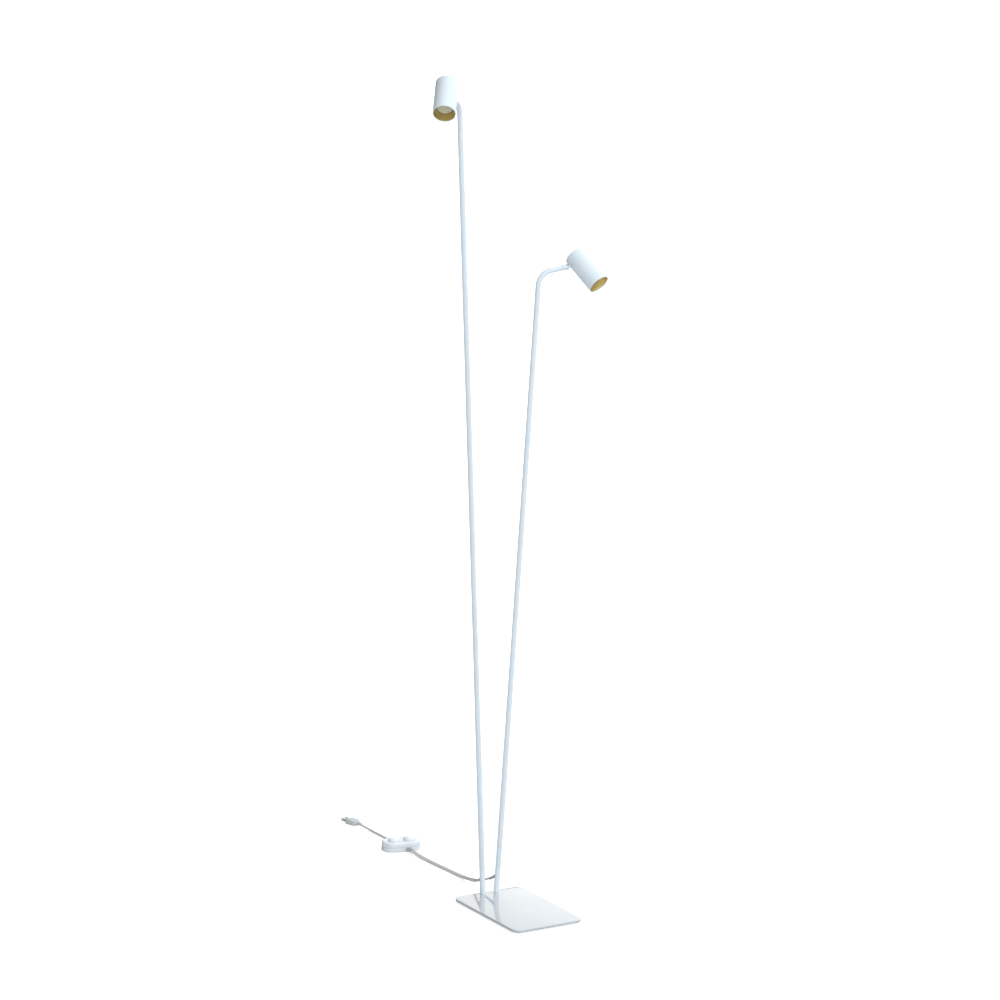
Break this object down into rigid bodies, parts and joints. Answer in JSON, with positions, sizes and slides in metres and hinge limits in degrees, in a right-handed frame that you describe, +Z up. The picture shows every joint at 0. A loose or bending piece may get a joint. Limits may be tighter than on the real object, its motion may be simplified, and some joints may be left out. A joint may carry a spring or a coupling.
{
  "type": "two-headed adjustable floor lamp",
  "caption": "Floor lamp with splayed slim stands on a flat plate, each with a bent arm and an adjustable cylindrical spot, and a corded foot switch.",
  "frame": {"origin": "centre of the resting face of the pad under the base plate", "axes": "+Z up; +X across the plate towards the lower stand; +Y back, the way the leads leave"},
  "size_m": [0.4694, 0.8055, 1.7875],
  "materials": {
    "white_enamel": "gloss powder coat, white",
    "foam_pad": "matt cellular foam",
    "zinc_steel": "zinc plated",
    "nylon_bush": "natural nylon",
    "cord_sheath": "satin PVC sheath, warm grey",
    "inner_wire": "insulated wire",
    "gold_anodised": "gold anodised, satin",
    "lamp_reflector": "aluminised reflector",
    "lamp_glass": "dimpled pressed glass",
    "lamp_ceramic": "steatite, unglazed",
    "switch_plastic": "moulded, satin white",
    "contact_plastic": "moulded, black",
    "button_plastic": "moulded, glossy white",
    "plug_plastic": "moulded, satin grey",
    "blade_nickel": "nickel plated"
  },
  "bodies": {
    "base": {"base_plate": "white_enamel", "base_pad": "foam_pad", "foot_high": "white_enamel", "foot_low": "white_enamel", "foot_screw_high": "zinc_steel", "foot_screw_low": "zinc_steel", "turn_bush_high": "nylon_bush", "turn_bush_low": "nylon_bush", "lead_relief_high": "cord_sheath", "lead_relief_low": "cord_sheath", "lead_high": "cord_sheath", "lead_low": "cord_sheath", "mains_lead": "cord_sheath", "switch_base": "switch_plastic", "switch_cover": "switch_plastic", "switch_screw_left": "zinc_steel", "switch_screw_right": "zinc_steel", "contact_block_high": "contact_plastic", "contact_block_low": "contact_plastic", "button_spring_high": "zinc_steel", "button_spring_low": "zinc_steel", "switch_relief_high": "cord_sheath", "switch_relief_low": "cord_sheath", "switch_relief_mains": "cord_sheath", "plug_body": "plug_plastic", "plug_blade_left": "blade_nickel", "plug_blade_right": "blade_nickel", "plug_relief": "plug_plastic"},
    "stand_high": {"stand_tube_high": "white_enamel", "inner_wire_high": "inner_wire"},
    "fork_high": {"swivel_fork_high": "white_enamel", "tilt_screw_high": "zinc_steel"},
    "spot_high": {"stem_high": "white_enamel", "stem_nut_high": "zinc_steel", "can_high": "white_enamel", "baffle_high": "gold_anodised", "lamp_bowl_high": "lamp_reflector", "lamp_lens_high": "lamp_glass", "lamp_cap_high": "lamp_ceramic", "lamp_holder_high": "lamp_ceramic", "holder_bracket_high": "zinc_steel"},
    "stand_low": {"stand_tube_low": "white_enamel", "inner_wire_low": "inner_wire"},
    "fork_low": {"swivel_fork_low": "white_enamel", "tilt_screw_low": "zinc_steel"},
    "spot_low": {"stem_low": "white_enamel", "stem_nut_low": "zinc_steel", "can_low": "white_enamel", "baffle_low": "gold_anodised", "lamp_bowl_low": "lamp_reflector", "lamp_lens_low": "lamp_glass", "lamp_cap_low": "lamp_ceramic", "lamp_holder_low": "lamp_ceramic", "holder_bracket_low": "zinc_steel"},
    "button_high": {"switch_button_high": "button_plastic"},
    "button_low": {"switch_button_low": "button_plastic"}
  },
  "joints": [
    {"name": "turn_high", "type": "hinge", "parent": "base", "child": "stand_high", "pos_m": [-0.018, 0.108, 0.0065], "axis": [-0.0578, 0.0707, 0.9958], "range_deg": [-150, 150]},
    {"name": "swivel_high", "type": "hinge", "parent": "stand_high", "child": "fork_high", "pos_m": [-0.16733, 0.18958, 1.73529], "axis": [-0.7573, -0.6065, 0.2421], "range_deg": [-120, 120]},
    {"name": "tilt_high", "type": "hinge", "parent": "fork_high", "child": "spot_high", "pos_m": [-0.16733, 0.18958, 1.73529], "axis": [-0.6524, 0.7184, -0.2413], "range_deg": [-38, 55]},
    {"name": "turn_low", "type": "hinge", "parent": "base", "child": "stand_low", "pos_m": [0.018, 0.108, 0.0065], "axis": [0.0578, 0.0707, 0.9958], "range_deg": [-150, 150]},
    {"name": "swivel_low", "type": "hinge", "parent": "stand_low", "child": "fork_low", "pos_m": [0.15922, 0.18925, 1.36926], "axis": [0.954, -0.2205, 0.2033], "range_deg": [-120, 120]},
    {"name": "tilt_low", "type": "hinge", "parent": "fork_low", "child": "spot_low", "pos_m": [0.15922, 0.18925, 1.36926], "axis": [-0.2985, -0.6331, 0.7142], "range_deg": [-59, 34]},
    {"name": "press_high", "type": "slide", "parent": "base", "child": "button_high", "axis": [0, 0, -1], "range_m": [0, 0.003], "stiffness_N_per_m": 900, "springref_m": -0.0008},
    {"name": "press_low", "type": "slide", "parent": "base", "child": "button_low", "axis": [0, 0, -1], "range_m": [0, 0.003], "stiffness_N_per_m": 900, "springref_m": -0.0008}
  ]
}
